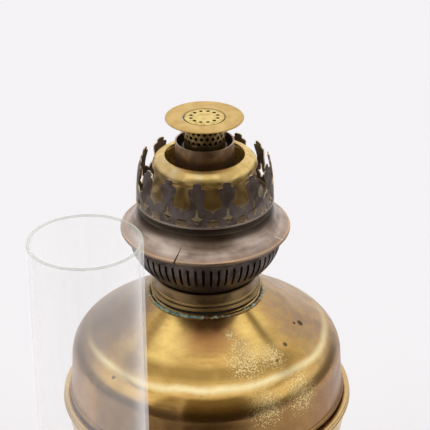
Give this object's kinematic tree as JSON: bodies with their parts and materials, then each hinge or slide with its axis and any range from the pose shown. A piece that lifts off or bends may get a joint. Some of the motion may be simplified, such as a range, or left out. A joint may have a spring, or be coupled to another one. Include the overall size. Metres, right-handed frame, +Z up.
{
  "type": "oil lamp",
  "caption": "Table oil lamp with a round-wick burner, flame disc, crown gallery, drop-in font on a pedestal, and its glass chimney standing beside it.",
  "frame": {"origin": "on the table, under the lamp's axis, at the bottom of the felt pad", "axes": "+Z up; +Y towards the back of the lamp, where the wick knob is; +X to the right seen from the front"},
  "size_m": [0.1688, 0.2241, 0.2722],
  "materials": {
    "brass_polished": "aged polish, warm tarnish on the curves",
    "brass_aged": "aged, brownish",
    "brass_pale": "matte, brushed",
    "bronze_brown": "brown patina",
    "bronze_dark": "dark patina",
    "steel": "plain",
    "iron": "rough casting",
    "cotton": "woven lamp wick",
    "felt": "pressed felt",
    "cork": "compressed cork",
    "clear_glass": "clear, blown"
  },
  "bodies": {
    "base": {"felt_pad": "felt", "foot_shell": "brass_aged", "foot_ballast": "iron", "stem": "brass_polished", "tie_rod": "steel", "tie_rod_nut_top": "steel", "tie_rod_nut_bottom": "steel", "holder_bowl": "brass_aged"},
    "font": {"font_tank": "brass_aged", "font_shoulder": "brass_polished", "font_collar": "brass_aged"},
    "gasket": {"burner_gasket": "cork"},
    "burner": {"burner_collar": "brass_aged", "air_basket": "bronze_dark", "burner_floor": "bronze_dark", "outer_wick_tube": "bronze_dark", "inner_air_tube": "bronze_dark", "inner_tube_plug": "bronze_dark", "draught_duct": "bronze_dark", "shaft_bushing": "brass_aged", "shaft_bracket": "brass_aged"},
    "wick_drive": {"wick_shaft": "steel", "spur_wheel_front": "steel", "spur_wheel_rear": "steel", "wick_knob": "brass_aged", "knob_screw": "steel"},
    "wick": {"wick": "cotton"},
    "gallery": {"gallery_flange": "bronze_brown", "gallery_crown": "bronze_dark", "deflector_dome": "brass_polished", "deflector_screen": "brass_aged"},
    "flame_spreader": {"flame_disc": "brass_pale", "spreader_cap": "brass_pale", "spreader_thimble": "brass_aged"},
    "chimney": {"chimney": "clear_glass"}
  },
  "joints": [
    {"name": "font_lift", "type": "slide", "parent": "base", "child": "font", "axis": [0, 0, 1], "range_m": [0, 0.06]},
    {"name": "burner_rise", "type": "slide", "parent": "font", "child": "gasket", "axis": [0, 0, 1], "range_m": [0, 0.0071]},
    {"name": "burner_unscrew", "type": "hinge", "parent": "gasket", "child": "burner", "pos_m": [0, 0, 0.175], "axis": [0, 0, 1], "range_deg": [0, 1440]},
    {"name": "knob_turn", "type": "hinge", "parent": "burner", "child": "wick_drive", "pos_m": [-0.0184, 0, 0.192], "axis": [0, -1, 0], "range_deg": [-100, 100]},
    {"name": "wick_rise", "type": "slide", "parent": "burner", "child": "wick", "axis": [0, 0, 1], "range_m": [-0.0078, 0.0078]},
    {"name": "gallery_lift", "type": "slide", "parent": "burner", "child": "gallery", "axis": [0, 0, 1], "range_m": [0, 0.07]},
    {"name": "spreader_lift", "type": "slide", "parent": "burner", "child": "flame_spreader", "axis": [0, 0, 1], "range_m": [0, 0.03]},
    {"name": "chimney_lift", "type": "slide", "parent": "base", "child": "chimney", "axis": [0, 0, 1], "range_m": [0, 0.3]}
  ],
  "couplings": [
    {"joint": "burner_rise", "follows": "burner_unscrew", "m_per_rad": 0.00027852},
    {"joint": "wick_rise", "follows": "knob_turn", "m_per_rad": 0.0044}
  ]
}
